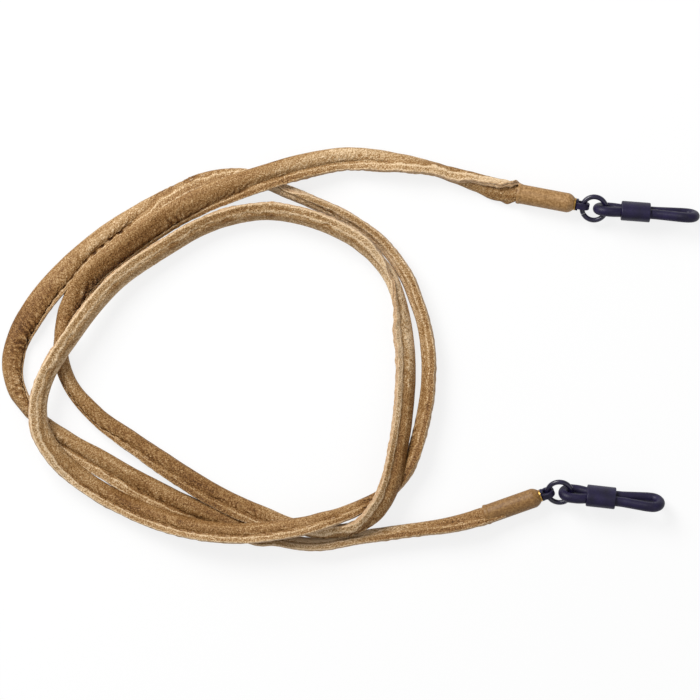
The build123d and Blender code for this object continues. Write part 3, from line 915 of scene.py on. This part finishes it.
def raw_leather():
    """Cut edge and flesh side of the same leather: pale, fully matt, with fibres 0.4 mm across."""
    made = material("raw_cut_leather_edge")
    where = {"Vector": add_node(made, "TexCoord").outputs["Object"]}
    fibre = add_node(made, "TexNoise", {"Scale": cells(0.4348), "Detail": 4.0, "Roughness": 0.7}, where)
    stops = [(0.3, "#93703f"), (0.5, "#b8936a"), (0.7, "#dbc19b")]
    shade = add_node(made, "ValToRGB", {"stops": stops}, {"Fac": fibre.outputs["Fac"]})
    height = {"Height": fibre.outputs["Fac"]}
    bump = add_node(made, "Bump", {"Strength": 0.8, "Distance": 0.2 * MM}, height)
    fuzzy = {"Roughness": 0.92, "Sheen Weight": 0.25, "Sheen Roughness": 0.6}
    looks = {"Base Color": shade.outputs["Color"], "Normal": bump.outputs["Normal"]}
    return output(made, add_node(made, "BsdfPrincipled", fuzzy, looks))


def cotton_twist():
    """Undyed cotton cord: off-white, soft and matt, with fuzz 0.3 mm across."""
    made = material("undyed_cotton_cord")
    where = {"Vector": add_node(made, "TexCoord").outputs["Object"]}
    fuzz = add_node(made, "TexNoise", {"Scale": cells(0.3333), "Detail": 2.0}, where)
    stops = [(0.3, "#cfc6b2"), (0.7, "#ebe5d6")]
    shade = add_node(made, "ValToRGB", {"stops": stops}, {"Fac": fuzz.outputs["Fac"]})
    looks = {"Base Color": shade.outputs["Color"]}
    return output(made, add_node(made, "BsdfPrincipled", {"Roughness": 0.9}, looks))


def polyester_thread():
    """Tan polyester sewing thread: a soft shine on twisted plies 0.25 mm apart."""
    made = material("tan_polyester_thread")
    where = {"Vector": add_node(made, "TexCoord").outputs["Object"]}
    ply = add_node(made, "TexNoise", {"Scale": cells(0.25), "Detail": 1.0}, where)
    stops = [(0.35, "#93714a"), (0.65, "#bf9f76")]
    shade = add_node(made, "ValToRGB", {"stops": stops}, {"Fac": ply.outputs["Fac"]})
    bump = add_node(made, "Bump", {"Strength": 0.4, "Distance": 0.05 * MM}, {"Height": ply.outputs["Fac"]})
    looks = {"Base Color": shade.outputs["Color"], "Normal": bump.outputs["Normal"]}
    return output(made, add_node(made, "BsdfPrincipled", {"Roughness": 0.5}, looks))


def cap_leather(name, codes):
    """A ferrule's skin: tan leather with a flat grain 0.4 mm across, in dark to pale shades that are set
    lighter or darker for each ferrule as painted light and shade.
    """
    made = material(name)
    where = {"Vector": add_node(made, "TexCoord").outputs["Object"]}
    cloud = add_node(made, "TexNoise", {"Scale": cells(0.4167), "Detail": 3.0, "Roughness": 0.7}, where)
    stops = list(zip((0.3, 0.5, 0.7), codes))
    shade = add_node(made, "ValToRGB", {"stops": stops}, {"Fac": cloud.outputs["Fac"]})
    grain = add_node(made, "TexNoise", {"Scale": cells(0.3846), "Detail": 3.0, "Roughness": 0.6}, where)
    bump = add_node(made, "Bump", {"Strength": 0.5, "Distance": 0.08 * MM}, {"Height": grain.outputs["Fac"]})
    looks = {"Base Color": shade.outputs["Color"], "Normal": bump.outputs["Normal"]}
    return output(made, add_node(made, "BsdfPrincipled", {"Roughness": 0.55}, looks))


def drawn_brass():
    """Bright drawn brass tube, dulled by handling in patches about a millimetre across."""
    made = material("drawn_brass")
    where = {"Vector": add_node(made, "TexCoord").outputs["Object"]}
    cloud = add_node(made, "TexNoise", {"Scale": cells(1.25), "Detail": 2.0}, where)
    rough = add_node(made, "MapRange", {"To Min": 0.22, "To Max": 0.4}, {"Value": cloud.outputs["Fac"]})
    metal = {"Base Color": colour("#b8924f"), "Metallic": 1.0}
    return output(made, add_node(made, "BsdfPrincipled", metal, {"Roughness": rough.outputs["Result"]}))


def moulded_rubber():
    """Dark navy rubber: satin, with a faint bloom 2 mm across and a moulded grain.

    The real grain is too fine to show, so it is drawn 0.4 mm across.
    """
    made = material("dark_navy_satin_rubber")
    where = {"Vector": add_node(made, "TexCoord").outputs["Object"]}
    bloom = add_node(made, "TexNoise", {"Scale": cells(2.381), "Detail": 4.0, "Roughness": 0.6}, where)
    stops = [(0.3, "#110c24"), (0.7, "#1d153a")]
    shade = add_node(made, "ValToRGB", {"stops": stops}, {"Fac": bloom.outputs["Fac"]})
    grain = add_node(made, "TexNoise", {"Scale": cells(0.3846), "Detail": 2.0}, where)
    bump = add_node(made, "Bump", {"Strength": 0.35, "Distance": 0.06 * MM}, {"Height": grain.outputs["Fac"]})
    satin = {"Roughness": 0.5, "Specular IOR Level": 0.3}
    looks = {"Base Color": shade.outputs["Color"], "Normal": bump.outputs["Normal"]}
    return output(made, add_node(made, "BsdfPrincipled", satin, looks))


def enamelled_wire():
    """Dark enamel baked on steel wire: smooth and half glossy, clouded about a millimetre across."""
    made = material("dark_baked_enamel_on_wire")
    where = {"Vector": add_node(made, "TexCoord").outputs["Object"]}
    cloud = add_node(made, "TexNoise", {"Scale": cells(1.111), "Detail": 3.0}, where)
    stops = [(0.3, "#0f0a22"), (0.7, "#1a1436")]
    shade = add_node(made, "ValToRGB", {"stops": stops}, {"Fac": cloud.outputs["Fac"]})
    glossy = {"Roughness": 0.35, "Coat Weight": 0.2, "Coat Roughness": 0.15}
    looks = {"Base Color": shade.outputs["Color"]}
    return output(made, add_node(made, "BsdfPrincipled", glossy, looks))


# ---------------------------------------------------------------- putting it together

def finish_node(node, made):
    """Gives a node of the part its finish."""
    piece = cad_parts[node]
    for held in piece.material_slots:
        held.material = made
    if not piece.material_slots:
        piece.data.materials.append(made)


look_down()
strap = strap_frames()
cover = leather_cover(strap, tan_nappa(), raw_leather())
core = core_cord(strap, cotton_twist())
stitches = seam_stitches(strap, polyester_thread())
for piece, node, slot in (
    (cover, "strap_cover", "tan_leather"),
    (core, "strap_core", "core_cord"),
    (stitches, "seam_thread", "seam_thread"),
):
    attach(piece, "strap")
    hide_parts(node)
# The two ferrules are the same leather, painted lighter at A and darker at B: painted light and shade.
caps = {
    "a": cap_leather("fine_grain_tan_ferrule_a_painted_lighter", ("#75521f", "#967041", "#b99262")),
    "b": cap_leather("fine_grain_tan_ferrule_b_painted_darker", ("#664317", "#815c2d", "#9c7745")),
}
brass, rubber, enamel = drawn_brass(), moulded_rubber(), enamelled_wire()
for end in ("a", "b"):
    finish_node(f"ferrule_{end}", caps[end])
    finish_node(f"crimp_eyelet_{end}", brass)
    finish_node(f"eye_tab_{end}", rubber)
    finish_node(f"jump_ring_{end}", enamel)
    finish_node(f"grip_loop_{end}", rubber)
    finish_node(f"slide_sleeve_{end}", rubber)
set_stage()
